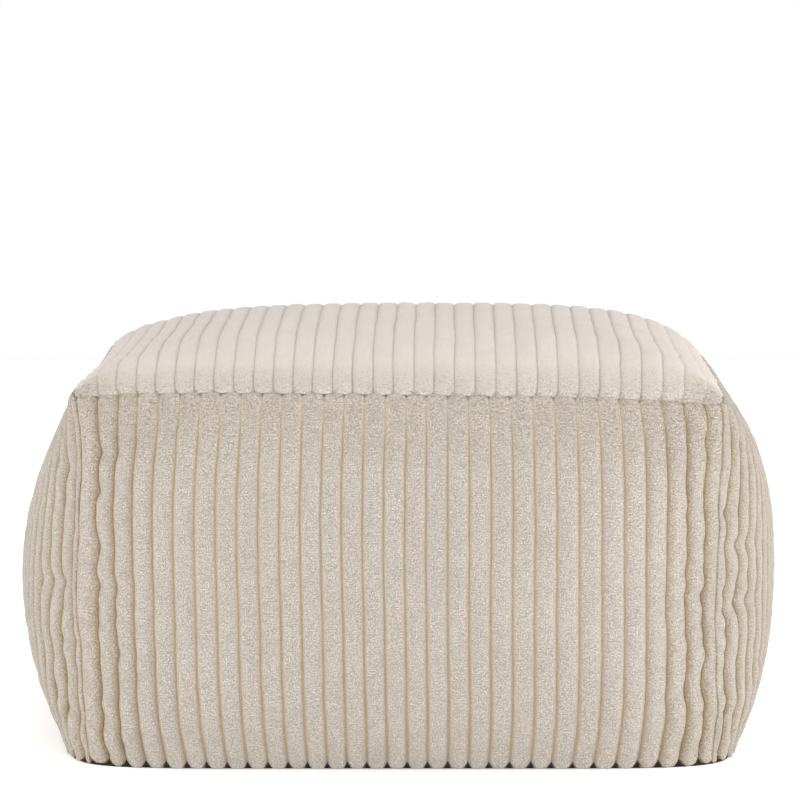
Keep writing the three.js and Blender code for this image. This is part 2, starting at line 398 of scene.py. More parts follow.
STUFFING_FRAMES = 20
STUFFING_PRESSURE = 4.0
SEAM_TIGHTNESS = 0.05          # a sewn seam is this much shorter than its cloth
CLOTH_EASE = -0.01             # and the cloth elsewhere this much longer
STUFFING = {
    "quality": 6, "mass": 0.3,
    "tension_stiffness": 15, "compression_stiffness": 15,
    "shear_stiffness": 5, "bending_stiffness": 0.5,
    "vertex_group_mass": "held", "vertex_group_shrink": "sewn",
    "shrink_min": CLOTH_EASE, "shrink_max": SEAM_TIGHTNESS,
    "use_pressure": True, "uniform_pressure_force": STUFFING_PRESSURE,
}
HELD_HEIGHT = 0.004            # the foot below this height stays put
FORM_PASSES = 16               # rounds of smoothing that find the plain form
PUSH_LIMIT = 0.0013            # a gather moves the cloth this far at most
GATHER_RIBS = 3.5              # ribs from a corner seam over which the gathers fade
GATHER_KEPT = 0.25             # to this share of them,
GATHER_TIP = 2.5               # and ribs from the top corner where they are weak


def gathers_of(movement):
    """A grid's movement without its smooth part, capped. The grid's edges are smoothed
    along the edge only, so that two panels still agree on their seam."""
    smooth = movement.copy()
    for _ in range(FORM_PASSES):
        inner = smooth[:-2] + 2 * smooth[1:-1] + smooth[2:]
        smooth[1:-1] = inner / 4
        inner = smooth[:, :-2] + 2 * smooth[:, 1:-1] + smooth[:, 2:]
        smooth[:, 1:-1] = inner / 4
    fine = movement - smooth
    size = np.linalg.norm(fine, axis=2, keepdims=True)
    return fine * np.tanh(size / PUSH_LIMIT) * PUSH_LIMIT / np.maximum(size, 1e-9)


def stuff_the_bag(grids):
    """Sews the grids into one closed mesh, runs the cloth simulation with the fill's
    pressure inside and tight seams, and gives the gathers that form in each grid."""
    points = np.concatenate([grid.reshape(-1, 3) for grid in grids.values()])
    welded, number = np.unique(np.round(points, 6), axis=0, return_inverse=True)
    number = number.reshape(-1)
    faces, seams, start, places = [], [], 0, {}
    for name, grid in grids.items():
        index = number[start : start + grid[..., 0].size].reshape(grid.shape[:2])
        start += index.size
        places[name] = index
        faces.append(grid_faces(index))
        seams += [index[0], index[-1], index[:, 0], index[:, -1]]
    bag = make_mesh("bag_for_stuffing", welded, *faces)
    held = np.flatnonzero(welded[:, 2] < HELD_HEIGHT)
    bag.vertex_groups.new(name="held").add(held.tolist(), 1.0, "REPLACE")
    sewn = np.unique(np.concatenate(seams))
    bag.vertex_groups.new(name="sewn").add(sewn.tolist(), 1.0, "REPLACE")
    settings = bag.modifiers.new("Stuffing", "CLOTH").settings
    for key, value in STUFFING.items():
        setattr(settings, key, value)
    settings.effector_weights.gravity = 0
    scene = bpy.context.scene
    for moment in range(1, STUFFING_FRAMES + 1):
        scene.frame_set(moment)
    stuffed = bag.evaluated_get(bpy.context.evaluated_depsgraph_get())
    moved = np.empty(welded.size, dtype=np.float32)
    stuffed.data.vertices.foreach_get("co", moved)
    movement = moved.reshape(-1, 3) - welded
    scene.frame_set(1)
    bpy.data.objects.remove(bag)
    return {name: gathers_of(movement[index]) for name, index in places.items()}


def gather_weight(to_corner, below_top):
    """How much of the gathers is kept, at a distance from a corner seam and from the top
    seam, in ribs: all of them beside the corner seam, and little where the cloth is pushed
    out tight and at the top corner itself."""
    tip = np.exp(-(to_corner**2 + below_top**2) / GATHER_TIP**2)
    kept = GATHER_KEPT + (1 - GATHER_KEPT) * bell(to_corner, GATHER_RIBS) * (1 - tip)
    return kept[..., None]


bag = sewn_bag()
push = stuff_the_bag(bag)


# ------------------------------------------------
# Corduroy. Cream cotton cord with wide ribs of fleecy pile, 14 mm apart, on a ground that
# shows a little browner in the narrow grooves, with painted shade there too. The ribs end
# in round noses at the seams.

PHASES = 14                    # steps across one rib, closer at its grooves
# Of the ribs in flat cloth, and beside a corner seam where they bend apart: how flat they
# are on top, how steep at their edges (lower is steeper) and how deep the grooves between
# them are, as a share of the rib height.
FLAT_RIB = np.array([3.0, 0.9, 0.65])
BENT_RIB = np.array([2.0, 0.60, 1.08])
SEAM_CLEAR = 0.05              # no column of points is nearer a seam, in ribs
NOSE_LENGTH = 0.0030           # over which a rib rounds down at its end
NOSE_LATE = 0.0010             # a nose may lie this much further in
FOOT_CUT = 0.0022              # how much sooner its edges end at the foot
SEAM_CUT = 0.0010              # and at the top seam
# Share of its height that a rib keeps on the seam, in its middle and in the grooves.
SEAM_BLUNT = (0.70, 0.35)
FOOT_BLUNT = (0.60, 0.0)
OPEN_PAST = 0.0008             # ground shows this far past a nose's start
OPEN_LENGTH = 0.0012           # over which it comes into sight
NOSE_PRESS = 0.0008            # how far a nose is pressed over the top seam
END_FADE = 0.004               # over which it is, and noses hang at the foot
PILE_UNEVEN = 0.12             # of the rib height
CREAM = (0.655, 0.594, 0.540, 1)
CREAM_SHADE = (0.388, 0.340, 0.285, 1)
# the browner ground in the grooves, with painted shade mixed in
GROUND_AND_SHADE = (0.438, 0.356, 0.250, 1)
# painted shade on a flank of each rib beside a seam, on the seams, and between the noses at the
# top
PAINTED_SHADE_BROWN = (0.310, 0.238, 0.120, 1)
PAINTED_FOOT_SHADE = (0.030, 0.020, 0.007, 1)  # painted shade in the gaps between noses at the foot, standing in also for the dark base cloth there
FLUFF = 1000.0                 # finest grains of the pile to the metre,
CURLS = 620.0                  # its curls,
TUFTS = 820.0                  # the tufts of gathered cloth,
PITS = 560.0                   # the pits between those
PATCHES = 22.0                 # and patches of turned nap
CURL_WIDTH = 0.06
PILE_RELIEF = 0.0010
MAP_WIDTH = 0.44               # the cloth map gives each panel this much,
MAP_RIBS = 31                  # for this many ribs
rng = np.random.default_rng(31)


def cubic_shares(part):
    """Weights of four neighbours on a smooth curve through them, part of the way between
    the middle two."""
    return (
        ((2 - part) * part - 1) * part / 2,
        (3 * part - 5) * part * part / 2 + 1,
        ((4 - 3 * part) * part + 1) * part / 2,
        (part - 1) * part * part / 2,
    )


def read_grid(grid, rows, columns):
    """Values of a grid at fractional rows and columns, on smooth curves between nodes."""
    row = np.clip(np.floor(rows).astype(int), 0, grid.shape[0] - 2)
    column = np.clip(np.floor(columns).astype(int), 0, grid.shape[1] - 2)
    extra = (1,) * (grid.ndim - 2)
    value = 0
    for down, row_share in enumerate(cubic_shares(rows - row), start=-1):
        near_row = np.clip(row + down, 0, grid.shape[0] - 1)
        for over, column_share in enumerate(cubic_shares(columns - column), start=-1):
            near_column = np.clip(column + over, 0, grid.shape[1] - 1)
            share = (row_share * column_share).reshape(row.shape + extra)
            value = value + share * grid[near_row, near_column]
    return value


def unevenness(along, across, cell_along, cell_across):
    """Soft random values of about -1 to 1: a lattice of random numbers, one for each cell,
    read on smooth curves. Each call is a new pattern."""
    rows = along / cell_along
    columns = across / cell_across
    rows, columns = rows - rows.min(), columns - columns.min()
    shape = (int(rows.max()) + 2, int(columns.max()) + 2)
    return read_grid(rng.uniform(-1, 1, shape), rows, columns)


def rib_places(first, last):
    """Places of a panel's columns of points, counted in ribs. The seams cut the first and
    the last rib wherever they fall."""
    whole = np.arange(math.floor(first), math.ceil(last))
    phase = 0.5 - 0.5 * np.cos(np.pi * np.arange(PHASES) / PHASES)
    places = (whole[:, None] + phase).ravel()
    inside = places[(places > first + SEAM_CLEAR) & (places < last - SEAM_CLEAR)]
    return np.concatenate([[first], inside, [last]])


def outward(points):
    """Unit normals of a grid whose columns run right and rows up, seen from outside."""
    normal = np.cross(np.gradient(points, axis=1), np.gradient(points, axis=0))
    return normal / np.maximum(np.linalg.norm(normal, axis=2, keepdims=True), 1e-12)


def rib_edge(place):
    """0 in the middle of a rib and 1 in the grooves beside it."""
    return np.abs(2 * (place % 1.0) - 1)


def rib_section(place, bend, flat_rib):
    """Height of the pile across the ribs, 1 on top: arches side by side, each 1 minus a
    power of the distance from its middle, itself raised to a power. They are rounder and
    deeper where the cloth bends at a corner seam."""
    bend = bend[:, None]
    flatness, steepness, depth = (flat_rib + (BENT_RIB - flat_rib) * bend).T
    return 1 - depth * (1 - (1 - rib_edge(place) ** flatness) ** steepness)


def noses(distance, place, blunt, cut):
    """Share of the pile's height left at a distance from the seam, and how open the
    ground is there. Each rib ends in a quarter round, a little early or late, and its edges
    end sooner by the length cut. blunt is the share left on the seam itself."""
    rib = np.floor(place).astype(int)
    rib -= rib.min()
    late = rng.uniform(0, NOSE_LATE, rib.max() + 1)[rib]
    start = cut * rib_edge(place) ** 2.5 + late
    short = 1 - np.clip((distance - start) / NOSE_LENGTH, 0, 1)
    left = blunt[0] + (blunt[1] - blunt[0]) * rib_edge(place) ** 3
    open_ground = np.clip((start + OPEN_PAST - distance) / OPEN_LENGTH, 0, 1)
    return left + (1 - left) * np.sqrt(1 - short**2), open_ground * rib_edge(place) ** 3


def cord_finish():
    """Fleecy cream pile. Its shade adds up grains and curls as strong as the nap, crinkled
    tufts and pits as strong as the gathers, and faint patches where the nap lies another
    way. The browner ground shows in the grooves with toothed edges, with painted shade
    mixed in. Deeper painted shade lies on a flank of each rib beside the seams, on the
    seams and between the noses at the top, and dark painted shade between the noses at
    the foot."""
    cloth = Shader("Cream corduroy")
    place = cloth.cloth_map()
    groove = cloth.attribute("groove")
    gather = cloth.attribute("gather")
    nap = cloth.attribute("nap")
    painted_shade = cloth.attribute("painted_shade")
    fluff = cloth.noise(place, FLUFF, detail=3.0, roughness=0.7)
    speck = cloth.ramp(fluff, 0.64, 0.38)
    curls = cloth.noise(place, CURLS, detail=1.0)
    curl = cloth.ramp(curls.math("ABSOLUTE", curls - 0.5), 0.0, CURL_WIDTH)
    crinkle = cloth.ramp(cloth.noise(cloth.stretched(place, 0.42, 1.0), TUFTS), 0.33, 0.41)
    pits = cloth.ramp(cloth.noise(place, PITS), 0.40, 0.33)
    teeth = cloth.ramp(cloth.noise(cloth.stretched(place, 0.3, 1.0), FLUFF), 0.30, 0.70)
    patches = cloth.ramp(cloth.noise(place, PATCHES), 0.75, 0.25)
    grain = speck * 0.85 + (1 - curl) * 0.55
    tufting = (1 - crinkle) * 1.5 + pits * 0.7
    shade = grain * nap + tufting * gather + patches * 0.1
    pile = cloth.mix(shade, CREAM, CREAM_SHADE)
    tone = cloth.mix(gather * 0.20, pile, GROUND_AND_SHADE)
    # The grooves: the browner ground, darkened further as painted shade.
    tone = cloth.mix(cloth.ramp(groove, 0.15, 1.0) * (0.6 + 0.6 * teeth), tone, GROUND_AND_SHADE)
    # Painted shade on the flanks beside the seams, on the seams and between the noses.
    tone = cloth.mix(painted_shade * (0.55 + 0.9 * speck), tone, PAINTED_SHADE_BROWN)
    height = (fluff * 0.6 + curl * 0.4) * nap + crinkle * gather * 0.6
    return cloth.finish(
        # Dark painted shade in the gaps between the noses at the foot.
        Base_Color=cloth.mix(cloth.attribute("foot_shade"), tone, PAINTED_FOOT_SHADE),
        Roughness=0.95,
        Normal=cloth.bump(height, PILE_RELIEF),
        Sheen_Weight=0.2,
        Sheen_Roughness=0.5,
        Specular_IOR_Level=0.15,
    )


cord_cloth = cord_finish()


def cover_panel(name, node, points, middle, attributes, across, along):
    """A closed panel: its outer grid of points, and the fill behind it closed back to a
    row of middle points, or to one point below a panel that lies flat. The middle has
    no marks of its own."""
    index = np.arange(points[..., 0].size).reshape(points.shape[:2])
    centre = index.size + np.arange(len(middle))
    if len(middle) > 1:
        closing = [
            grid_faces(np.stack([centre, index[:, 0]], axis=1)),
            grid_faces(np.stack([index[:, -1], centre], axis=1)),
            fan_faces(centre[0], index[0]),
            fan_faces(centre[-1], index[-1, ::-1]),
        ]
    else:
        edges = (index[0], index[:, -1], index[-1, ::-1], index[::-1, 0])
        closing = [fan_faces(centre[0], edge) for edge in edges]
    vertices = np.concatenate([points.reshape(-1, 3), middle])
    piece = make_mesh(name, vertices, grid_faces(index), *closing)
    pad = np.zeros(len(middle))
    for key, values in attributes.items():
        layer = piece.data.attributes.new(key, "FLOAT", "POINT")
        layer.data.foreach_set("value", np.append(values, pad).astype(np.float32))
    set_cloth_map(piece, np.append(across, pad), np.append(along, pad))
    piece.data.materials.append(cord_cloth)
    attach(piece, "root")
    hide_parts(node)


# ------------------------------------------------
# Side panels. Four pieces of corduroy with upright ribs, sewn to each other in the corner
# seams, which gather the cloth beside them into small puckers.

# Where a panel's two side seams lie, counted in ribs: they cut the ribs anywhere.
SIDE_RIBS = {
    "front": (0.0, 30.75), "right": (0.2, 31.3), "back": (0.2, 31.2), "left": (0.0, 30.5),
}
# How many ribs in from a side seam the ribs are rounder, and a flank of each rib carries
# painted shade.
BENT_RIBS = {"front": 3.0, "right": 9, "back": 3.0, "left": 9}
SHADED_RIBS = {"front": 3.2, "right": 12, "back": 3.2, "left": 12}
PAINTED_SHADE_SHARE = {"front": 0.70, "right": 0.62, "back": 0.70, "left": 0.62}  # how strong the painted shade is
# The flank of a rib that carries painted shade faces the panel's middle at 1, and its nearer
# seam at -1.
SHADED_FLANK = {"front": 1, "right": -1, "back": 1, "left": -1}
# How much of the sway the ribs have, and how gathered the pile is below the top seam.
SEAM_SWAY = {"front": 0.35, "right": 1.0, "back": 0.5, "left": 1.0}
TOP_GATHER = {"front": 0.8, "right": 0.45, "back": 0.8, "left": 0.45}
# The ribs sway in short puckers, waves and long bends. Each has a length up the panel, how
# many ribs go together, and how far they go, in ribs. Puckers have a share in flat cloth
# and the rest beside a side seam.
PUCKER, PUCKER_SWAY = (0.016, 1.3), (0.015, 0.10)
WAVE, WAVE_SWAY = (0.028, 9.0), 0.22
BEND, BEND_SWAY = (0.090, 5.0), 0.05
PILE_CELL = (0.006, 0.5)       # length and ribs of one uneven place in the pile
RIB_DRIFT = 0.28               # ribs right of the middle lie this much left,
DRIFT_CURVE = 1.35             # most at the place whose power by this is half
FOOT_DRIFT = 0.10              # and those at the foot this much more
FOOT_DRIFT_SCALE = 6.75        # brings whole**2 * (1 - whole) to 1 at most
# Places at the belly where ribs lie aside: share of the way across, half width as a share,
# and how far they lie to the right, in ribs.
BELLY_DRIFTS = ((0.25, 0.22, 0.25), (0.77, 0.10, -0.11), (0.97, 0.04, 0.14))
BELLY_BAND = (0.42, 0.26)      # the level and half height of those places, as shares
FAINT_LENGTH = 0.026           # below the top seam, where the ribs are faint
FAINT_SHARE = 0.60             # by this share in mid-panel
FAINT_LESS = (0.45, 3)         # and less by this share, so many ribs from a seam
FOOT_DEEPER = 0.35             # grooves are this much deeper at the foot
DEEPER_LEVEL = 0.5             # from this share of the height down
SIDE_ROWS = 172
ROWS_NEAR_SEAMS = 0.5          # how much closer the rows are at both ends
SEAM_GAP = 0.0002
HELD_RIBS = 0.6                # a seam holds the ribs in place this near
BESIDE_RIBS = 2.0              # cloth this near counts as beside a seam
SEAM_FILL = 0.40               # ribs that a side seam cuts are full this near
SEAM_ROUND = 0.09              # pile rounds down this near a seam, in ribs
SEAM_DEPTH = 0.20              # and by this share of its height
SEAM_TURN = 0.3                # ribs over which it turns to the diagonal
SEAM_FOLLOW = 2                # ribs that follow the wander of a seam
SEAM_PAINTED_SHADE = (0.5, 0.10)     # painted shade on the seam itself, and over these ribs
FOOT_DROOP = 0.0030            # noses hang this far below the foot seam,
FLOOR_GAP = 0.0003             # but stay this far above the floor
LIFTED_RIBS = 2.2              # ribs at the front's left end that hang less
LIFTED_SHARE = 0.9             # by this share
GATHER_LENGTH = 0.050          # below the top seam, where the pile is gathered
GATHER_BESIDE = (0.10, 0.45)   # how gathered it is in flat cloth, and beside a seam
GROOVE_POWERS = (3.4, 5)       # higher is narrower: of the brown and painted shade in a groove, and of its
BARE_SHARE = 0.5               # bare strip, where the nap is lower by this share
FLANK_POWERS = (1.3, 5)        # of the painted shade on a shaded flank, and on the other
FLANK_NAP = 0.5                # the nap is stronger on a shaded flank, as painted shade, and, as grain, below the top seam
TOP_SIDE_NAP = 0.12            # and below the top seam
TOP_OPEN_SHADE = 0.6           # painted shade between the noses at the top seam
FOOT_DARKNESS = 2.2            # how soon the painted shade fills the gaps between noses at the foot
CREASE_TALL = 0.0058           # half height of a crease
CREASE_PULL = 0.4              # of the pulls below
# Creases that a corner seam draws across the ribs: place in ribs from the panel's left
# seam, half length in ribs, height above the floor in millimetres, depth in millimetres,
# and how far it pulls the ribs to the right, in ribs.
CREASES = {
    "front": (
        (1.5, 0.9, 208, 3.2, 0.14), (1.1, 0.7, 182, 2.6, 0.10), (1.1, 0.7, 145, 2.6, 0.13),
        (1.3, 1.3, 120, 3.4, 0.16), (1.1, 0.6, 106, 2.0, -0.06), (2.1, 0.7, 77, 2.4, 0.10),
        (29.9, 0.8, 221, 3.0, -0.16), (30.2, 0.7, 169, 2.4, 0.10), (29.3, 1.1, 132, 3.2, 0.13),
        (29.9, 0.7, 114, 2.4, -0.08), (29.4, 1.0, 89, 3.0, 0.12), (30.2, 0.7, 64, 2.6, -0.10),
        (30.4, 0.7, 26, 2.4, 0.10),
    ),
    "right": (
        (0.9, 0.8, 170, 2.6, -0.12), (2.3, 1.8, 146, 3.4, 0.15), (2.1, 1.5, 107, 3.2, -0.12),
        (1.8, 0.9, 31, 2.6, 0.10), (29.8, 0.8, 196, 2.6, 0.12), (29.4, 1.1, 128, 3.0, -0.12),
        (30.0, 0.7, 74, 2.6, 0.10),
    ),
    "back": (
        (1.3, 0.9, 201, 2.8, 0.12), (1.6, 1.2, 138, 3.2, 0.14), (1.1, 0.7, 84, 2.6, -0.10),
        (29.7, 0.9, 187, 2.8, -0.12), (29.4, 1.3, 112, 3.2, 0.14), (30.1, 0.7, 52, 2.4, 0.08),
    ),
    "left": (
        (1.2, 0.8, 190, 2.6, 0.12), (1.6, 1.2, 116, 3.0, -0.14), (1.3, 0.8, 61, 2.4, 0.10),
        (29.3, 0.8, 196, 2.6, 0.12), (28.9, 1.5, 120, 3.4, 0.15), (29.7, 0.8, 62, 2.6, -0.10),
    ),
}


def crease_shares(side, rib, height):
    """Depth of a panel's creases and the pull on its ribs: a soft long dent at each."""
    depth, pull = np.zeros_like(height), np.zeros_like(height)
    for place, half_length, up, dip, push_right in CREASES[side]:
        away = ((rib - place) / half_length) ** 2 + ((height - up / 1000) / CREASE_TALL) ** 2
        depth += dip / 1000 * np.exp(-away)
        pull += CREASE_PULL * push_right * np.exp(-away / 2)
    return depth, pull


SEAM_WANDER = (0.0011, 0.0007)  # how far a corner seam strays aside, and out
SEAM_KNOTS = 14
# One smooth random curve up each corner seam, for its place aside, and in or out.
seam_paths = rng.uniform(-1, 1, (4, 2, SEAM_KNOTS)) * np.array(SEAM_WANDER)[:, None]


def seam_shift(corner, level):
    """How far a corner seam lies from its smooth line, up a column of levels: not at all
    at the top and foot, and freely from an eighth of the height away."""
    aside, out = (
        read_grid(knot[:, None] + np.zeros(2), level * (SEAM_KNOTS - 1), 0 * level)
        for knot in seam_paths[corner]
    )
    x, y = turned(aside - out, -aside - out, corner)
    ends = np.clip(np.minimum(level, 1 - level) * 8, 0, 1)
    return np.stack([x, y, 0 * x], axis=2) / math.sqrt(2) * ends[..., None]


def seam_normals(normals, near, corner):
    """Turns a panel's normals near a corner seam towards the diagonal between the two
    panels, so that both raise the seam the same way."""
    diagonal = np.array([*turned(-1, -1, corner), 0]) / math.sqrt(2)
    return normals + (diagonal - normals) * near[:, None]


def seam_round(to_seam, depth):
    """Share of the pile's height left beside a side seam: a quarter round."""
    short = 1 - np.clip(to_seam / SEAM_ROUND, 0, 1)
    return 1 - depth * (1 - np.sqrt(1 - short**2))


def from_side_seams(side, rib):
    """How many ribs it is to the nearer side seam, and how free of it the ribs are."""
    first, last = SIDE_RIBS[side]
    to_seam = np.minimum(rib - first, last - rib)
    return to_seam, 1 - bell(to_seam, HELD_RIBS)


def lie_of_ribs(side, rib, level, height):
    """Where each rib runs, as a share of the way across its panel at each level, and how
    deep the creases are there: even shares, plus the sway, the pull of the creases and the
    places that lie aside, which the seams hold back, less a drift that they don't."""
    first, last = SIDE_RIBS[side]
    to_seam, free = from_side_seams(side, rib)
    swayed = SEAM_SWAY[side]
    ribs = rib + 0 * height
    sway = unevenness(height, ribs, *PUCKER) * (
        PUCKER_SWAY[0] + PUCKER_SWAY[1] * swayed * fade(to_seam, BESIDE_RIBS)
    )
    near = fade(to_seam, 0.5 * BENT_RIBS[side])
    sway += unevenness(height, ribs, *WAVE) * WAVE_SWAY * swayed * near
    sway += unevenness(height, ribs, *BEND) * BEND_SWAY
    depth, pull = crease_shares(side, rib, height)
    whole = (rib - first) / (last - first)
    drift = RIB_DRIFT * np.sin(np.pi * whole**DRIFT_CURVE) ** 2
    at_foot = FOOT_DRIFT * (1 - level) ** 2
    drift = drift + at_foot * FOOT_DRIFT_SCALE * whole**2 * (1 - whole)
    belly = bell(level - BELLY_BAND[0], BELLY_BAND[1])
    for place, half_width, push_right in BELLY_DRIFTS:
        pull += push_right * belly * bell(whole - place, half_width)
    return whole + ((sway + pull) * free - drift) / (last - first), depth


def stuffed_side(side, quarters, rib, level, share):
    """Points of a side panel below its pile: the plain form, the gathers that the fill
    presses into it, and the wander of its two corner seams."""
    first, last = SIDE_RIBS[side]
    to_seam = from_side_seams(side, rib)[0]
    points = side_form(quarters, share, level)
    gathers = read_grid(push[side], level * CAGE_UP + 0 * rib, share * CAGE_ACROSS)
    below_top = (1 - level) * (SEAM_HEIGHT - FOOT) / RIB_PITCH
    points += gathers * gather_weight(to_seam, below_top)
    for corner, away in ((quarters, rib - first), ((quarters + 1) % 4, last - rib)):
        points += seam_shift(corner, level) * bell(away, SEAM_FOLLOW)[:, None]
    return points


def side_pile(side, rib, level, top_gap, foot_gap):
    """Height of the pile, 1 on top of a flat rib, how deep the grooves are, and how open
    the ground is at the top and at the foot. The arches of the ribs are filled where a
    seam cuts them, faint below the top seam, deeper at the foot, and end in noses."""
    to_seam = from_side_seams(side, rib)[0]
    top_nose, top_open = noses(top_gap, rib, SEAM_BLUNT, SEAM_CUT)
    foot_nose, foot_open = noses(foot_gap, rib, FOOT_BLUNT, FOOT_CUT)
    section = rib_section(rib, bell(to_seam, BENT_RIBS[side]), FLAT_RIB)
    section = 1 - (1 - section) * (1 - bell(to_seam, SEAM_FILL))
    flat = 1 - FAINT_LESS[0] * bell(to_seam, FAINT_LESS[1])
    grooves = 1 - FAINT_SHARE * flat * bell(top_gap, FAINT_LENGTH)
    grooves = grooves * (1 + FOOT_DEEPER * np.clip(1 - level / DEEPER_LEVEL, 0, 1))
    section = 1 - (1 - section) * grooves
    pile = section * top_nose * foot_nose * seam_round(to_seam, SEAM_DEPTH)
    return pile, grooves, top_open, foot_open


def side_marks(side, rib, grooves, top_gap, top_open, foot_open):
    """What the finish reads at each point, from 0 to about 1. A groove is a high power of
    the nearness to it. Painted shade takes in a whole flank of each rib beside a seam, the
    seam itself and the gaps between noses, and the nap is raised on that flank. The gaps
    between noses at the foot get dark painted shade. The pile is gathered below the top
    seam and beside the corner seams, and its nap is low in the grooves."""
    first, last = SIDE_RIBS[side]
    to_seam, free = from_side_seams(side, rib)
    edge = rib_edge(rib)
    near_top = np.clip(1 - top_gap / GATHER_LENGTH, 0, 1)
    gather = TOP_GATHER[side] * near_top + GATHER_BESIDE[0]
    gather = gather + GATHER_BESIDE[1] * fade(to_seam, BESIDE_RIBS)
    # Painted shade: one flank of each rib near a side seam, and the seam itself.
    shaded = bell(to_seam, SHADED_RIBS[side]) * free
    half = np.where((rib - first) / (last - first) < 0.5, 0.5, -0.5)
    inner = 0.5 + half * SHADED_FLANK[side] * (2 * (rib % 1.0) - 1)
    flank = inner * edge ** FLANK_POWERS[0] + (1 - inner) * edge ** FLANK_POWERS[1]
    painted_seam_shade = SEAM_PAINTED_SHADE[0] * fade(to_seam, SEAM_PAINTED_SHADE[1])
    seams = np.maximum(TOP_OPEN_SHADE * TOP_GATHER[side] * top_open, painted_seam_shade)
    bare = 1 - BARE_SHARE * edge ** GROOVE_POWERS[1]
    return {
        "groove": edge ** GROOVE_POWERS[0] * (0.45 + 0.55 * grooves),
        "painted_shade": np.maximum(PAINTED_SHADE_SHARE[side] * shaded * flank * grooves, seams),
        "gather": gather * bare,
        "nap": bare + FLANK_NAP * shaded * flank + TOP_SIDE_NAP * near_top,
        "foot_shade": np.minimum(FOOT_DARKNESS * foot_open, 1),
    }


def make_side(side, quarters):
    """A side panel: the stuffed form, with upright ribs raised along its normals and the
    creases sunk into it. The noses hang over the foot and are pressed over the top seam."""
    first, last = SIDE_RIBS[side]
    rib = rib_places(first, last)
    step = np.linspace(0, 1, SIDE_ROWS)[:, None]
    level = step - ROWS_NEAR_SEAMS * np.sin(2 * np.pi * step) / (2 * np.pi)
    height = FOOT + level * (SEAM_HEIGHT - FOOT) + 0 * rib
    top_gap = (1 - level) * (SEAM_HEIGHT - FOOT) + 0 * rib
    foot_gap = level * (SEAM_HEIGHT - FOOT) + 0 * rib
    share, depth = lie_of_ribs(side, rib, level, height)
    points = stuffed_side(side, quarters, rib, level, share)
    pile, grooves, top_open, foot_open = side_pile(side, rib, level, top_gap, foot_gap)
    uneven = unevenness(height, rib + 0 * height, *PILE_CELL)
    lift = RIB_HEIGHT * pile * (1 + PILE_UNEVEN * uneven)
    ends = np.clip(np.minimum(top_gap, foot_gap) / END_FADE, 0, 1)
    lift -= depth * (ends * from_side_seams(side, rib)[1])
    normals = outward(points)
    for corner, away in ((quarters, rib - first), ((quarters + 1) % 4, last - rib)):
        normals = seam_normals(normals, bell(away, SEAM_TURN), corner)
    points += normals * lift[..., None]
    lifted = LIFTED_SHARE * bell(rib, LIFTED_RIBS) * (side == "front")
    points[..., 2] -= FOOT_DROOP * pile * fade(foot_gap, END_FADE) * (1 - lifted)
    points[..., 2] += NOSE_PRESS * pile * fade(top_gap, END_FADE)
    points[..., 2] = np.maximum(points[..., 2], FLOOR_GAP)
    up = level[:, 0]
    middle_x, middle_y = leaned(0 * up, 0 * up, up)
    middle = np.stack([middle_x, middle_y, FOOT + (seam_plane(0, 0) - FOOT) * up], axis=1)
    # The whole wedge is drawn out a little, so that the panels have a gap between them.
    drawn_out = turned(0, -SEAM_GAP / math.sqrt(2), quarters)
    points[..., :2] += drawn_out
    middle[:, :2] += drawn_out
    marks = side_marks(side, rib, grooves, top_gap, top_open, foot_open)
    across = (rib / MAP_RIBS + quarters) * MAP_WIDTH + 0 * height
    cover_panel(side + "_cover", side + "_panel", points, middle, marks, across, height)


for side, quarters in SIDE_TURNS.items():
    make_side(side, quarters)


# ------------------------------------------------
# Top panel. One square of corduroy with its ribs running front to back, crowned by the
# fill, steep at the seam and nearly flat in the middle.

TOP_RIBS = (-0.3, 31.85)       # where its two side seams lie, in ribs
TOP_DRIFT = 0.45               # ribs near the middle lie this much left
TOP_WAVE, TOP_WAVE_SWAY = (0.040, 2.0), 0.03  # as the side panels' sway
TOP_BEND, TOP_BEND_SWAY = (0.160, 6.0), 0.06
TOP_PILE_CELL = (0.007, 0.5)
TOP_TONE_CELL = (0.060, 1.0)   # of how strong the grooves' brown and painted shade are
TOP_ROWS = 200
TOP_STEEPNESS = 0.72           # how much closer the rows are at both seams
TOP_RIB = np.array([4.2, 0.9, 0.45])  # as FLAT_RIB
TOP_HELD_RIBS = 0.7            # a seam holds the ribs in place this near
TOP_HALF_RIBS = 16             # ribs from the middle to a side seam
TOP_FAINT = (0.5, 2.5)         # share by which side grooves are shallower, over ribs
TOP_DEEPER = (0.3, 0.020)      # share by which all are deeper at the noses, over metres
TOP_CORNER = (1.3, 0.016)      # a corner's width in ribs, and its length
CORNER_FLATTER = 0.6           # the pile is this much lower there
TOP_GATHER_LENGTH = 0.028      # beside the front and back seams, the band of gathered pile, which is partly painted shade: how strong there, and more at a corner
TOP_GATHER_SHARE = (0.38, 0.4)  # how gathered the pile is there, and more at a corner
TOP_NAP = 0.27                 # the grain is fainter here: painted light, as the top is lit full on
TOP_TABLE_STEPS = 401          # in its table of curved length


